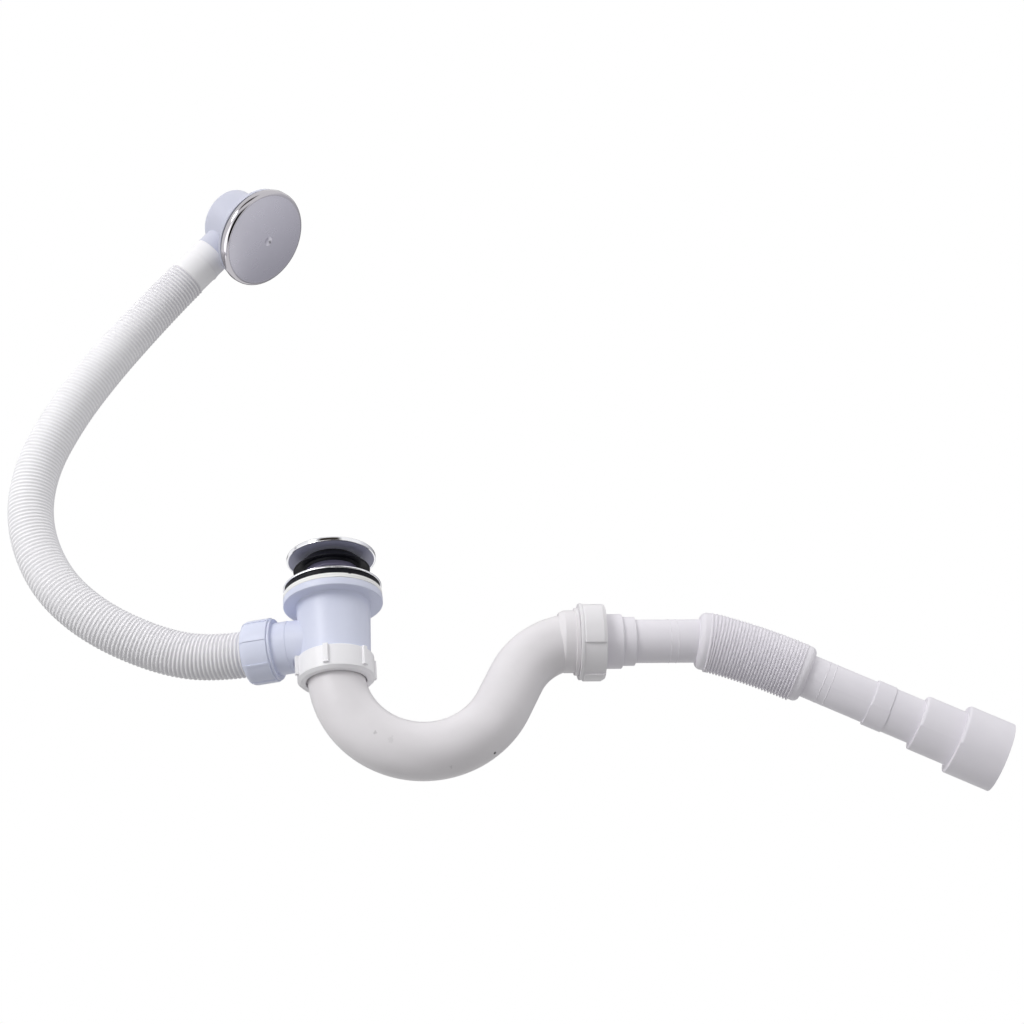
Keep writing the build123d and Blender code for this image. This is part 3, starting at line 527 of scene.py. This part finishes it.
def corrugated_hose():
    """Hose as one closed shell: ridged outside, plain bore, and an end face at each end."""
    line = route_points("hose_route", HOSE_ROUTE)
    length = float(np.linalg.norm(np.diff(line, axis=0), axis=1).sum())
    count = int(length / HOSE_PITCH * HOSE_STEPS)
    outside = np.linspace(0.0, length, count)
    inside = np.linspace(0.0, length, count // HOSE_STEPS)
    outer = ring_points(line, outside, [hose_radius_at(distance) for distance in outside])
    inner = ring_points(line, inside, [HOSE_BORE] * len(inside))
    inner = inner.reshape(len(inside), HOSE_SIDES, 3)[::-1].reshape(-1, 3)
    faces = ring_faces(len(outside) + len(inside))
    hose = mesh_object("corrugated_hose", np.vstack((outer, inner)).tolist(), faces)
    # Height of each ring on the ridges, which the hose's finish turns into painted shade in the grooves
    ridge_shade = hose.data.attributes.new("ridge_shade", "FLOAT", "POINT")
    heights = [ridge_at(distance) for distance in outside] + [1.0] * len(inside)
    ridge_shade.data.foreach_set("value", np.repeat(heights, HOSE_SIDES))
    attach(hose, "waste")
    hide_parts("overflow_hose")
    return hose


def coil_spring():
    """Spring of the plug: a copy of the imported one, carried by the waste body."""
    spring = bpy.data.objects.new("coil_spring", nodes["plug_spring"].data.copy())
    bpy.context.scene.collection.objects.link(spring)
    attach(spring, "waste")
    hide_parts("plug_spring")
    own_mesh(spring)


def facing(direction):
    """Rotation that turns a plane's or a lamp's back to a direction."""
    return direction.to_track_quat("Z", "Y")


def compass(azimuth, elevation):
    """Unit vector at an azimuth from the camera's side, and an elevation, in degrees."""
    turn, rise = radians(azimuth), radians(elevation)
    return Vector((sin(turn) * cos(rise), -cos(turn) * cos(rise), sin(rise)))


def plane(name, width, height, level=0.0):
    """Flat rectangle round its own origin."""
    half_width, half_height = width / 2, height / 2
    corners = [
        (-half_width, -half_height, level),
        (half_width, -half_height, level),
        (half_width, half_height, level),
        (-half_width, half_height, level),
    ]
    return mesh_object(name, corners, [(0, 1, 2, 3)])


def studio_card(name, azimuth, elevation, distance, size, tones):
    """Card that only reflections show, graded between two tones and fading into the white round it."""
    width, height = size
    card = plane(name, width, height)
    direction = compass(azimuth, elevation)
    card.location = STUDIO_CENTRE + direction * distance
    card.rotation_mode = "QUATERNION"
    card.rotation_quaternion = facing(direction)
    card.visible_camera = False
    card.visible_diffuse = False
    card.visible_transmission = False
    card.visible_shadow = False
    finish = Finish(name, Base_Color=BLACK, Specular_IOR_Level=0.0, Emission_Strength=1.0)
    shown = 1.0
    for axis, half in (((1, 0, 0), width / 2), ((0, 1, 0), height / 2)):
        off_centre = finish.math("ABSOLUTE", finish.along(axis))
        shown = finish.math("MULTIPLY", shown, finish.spread(off_centre, half, half * (1 - CARD_FADE)))
    graded = finish.mix(finish.spread(finish.along((1, 0, 0)), -width / 2, width / 2), *tones)
    finish.feed(finish.shader.inputs["Emission Color"], finish.mix(shown, WHITE, graded))
    card.data.materials.append(finish.material)


def white_world():
    """World that is white to the camera and in reflections, and elsewhere a soft sky, darker below."""
    world = bpy.data.worlds.new("studio")
    bpy.context.scene.world = world
    world.use_nodes = True
    tree = world.node_tree
    rays = tree.nodes.new("ShaderNodeLightPath")
    seen = rays.outputs["Is Camera Ray"]
    for kind in ("Is Glossy Ray", "Is Transmission Ray"):
        either = tree.nodes.new("ShaderNodeMath")
        either.operation = "MAXIMUM"
        tree.links.new(seen, either.inputs[0])
        tree.links.new(rays.outputs[kind], either.inputs[1])
        seen = either.outputs[0]
    place = tree.nodes.new("ShaderNodeTexCoord")
    parts = tree.nodes.new("ShaderNodeSeparateXYZ")
    tree.links.new(place.outputs["Generated"], parts.inputs["Vector"])
    sky = tree.nodes.new("ShaderNodeMapRange")
    sky.interpolation_type = "SMOOTHSTEP"
    sky.inputs["From Min"].default_value = -SKY_TURN
    sky.inputs["From Max"].default_value = SKY_TURN
    sky.inputs["To Min"].default_value = SKY_LOW
    sky.inputs["To Max"].default_value = SKY_HIGH
    tree.links.new(parts.outputs["Z"], sky.inputs["Value"])
    strength = tree.nodes.new("ShaderNodeMapRange")
    tree.links.new(seen, strength.inputs["Value"])
    tree.links.new(sky.outputs["Result"], strength.inputs["To Min"])
    background = tree.nodes["Background"]
    background.inputs["Color"].default_value = WHITE
    tree.links.new(strength.outputs["Result"], background.inputs["Strength"])


def pale_floor():
    """Plain pale floor, well below the hanging part, fading into the white round it."""
    floor = plane("floor", FLOOR_SIZE, FLOOR_SIZE, FLOOR_LEVEL)
    floor.visible_diffuse = False
    floor.visible_glossy = False
    finish = Finish("floor", Roughness=0.9, Specular_IOR_Level=0.1)
    pale = finish.mix(finish.noise(scale=3.0), srgb(243, 243, 244), srgb(239, 239, 240))
    far = finish.spread(finish.off_axis(UP, MIDDLE), FLOOR_FADE_START, FLOOR_FADE_END)
    finish.colour(finish.mix(far, pale, BLACK))
    finish.feed(finish.shader.inputs["Emission Color"], WHITE)
    finish.feed(finish.shader.inputs["Emission Strength"], far)
    floor.data.materials.append(finish.material)


def key_lamp():
    """Large soft lamp above and to the left of the camera's side."""
    data = bpy.data.lights.new("key", "AREA")
    data.energy = KEY_WATTS
    data.size = KEY_SIZE
    lamp = bpy.data.objects.new("key", data)
    direction = KEY_DIRECTION.normalized()
    lamp.location = STUDIO_CENTRE + direction * KEY_DISTANCE
    lamp.rotation_mode = "QUATERNION"
    lamp.rotation_quaternion = facing(direction)
    bpy.context.scene.collection.objects.link(lamp)


def studio():
    """White surroundings, a soft lamp, a pale floor and the cards that polished metal mirrors."""
    white_world()
    pale_floor()
    key_lamp()
    brown = srgb(62, 56, 52)
    pale = srgb(236, 236, 240)
    grey = srgb(150, 150, 156)
    dim = srgb(112, 110, 112)
    studio_card("camera_flag", -2.0, 31.0, distance=2.0, size=(2.5, 1.3), tones=(brown, brown))
    studio_card("front_light", -60.0, -42.0, distance=1.7, size=(3.0, 2.6), tones=(GLARE, GLARE))
    studio_card("front_flag", 36.0, -46.0, distance=1.6, size=(2.4, 2.2), tones=(BLACK, BLACK))
    studio_card("side_card", 118.0, 0.0, distance=2.4, size=(4.4, 5.0), tones=(pale, grey))
    studio_card("back_card", 176.0, 28.0, distance=2.6, size=(4.4, 4.0), tones=(dim, dim))


placed_camera()
hose = corrugated_hose()
finishes = dress_nodes()
hose.data.materials.append(finishes["hose_plastic"])
coil_spring()
studio()

bpy.context.scene.view_settings.view_transform = "Standard"
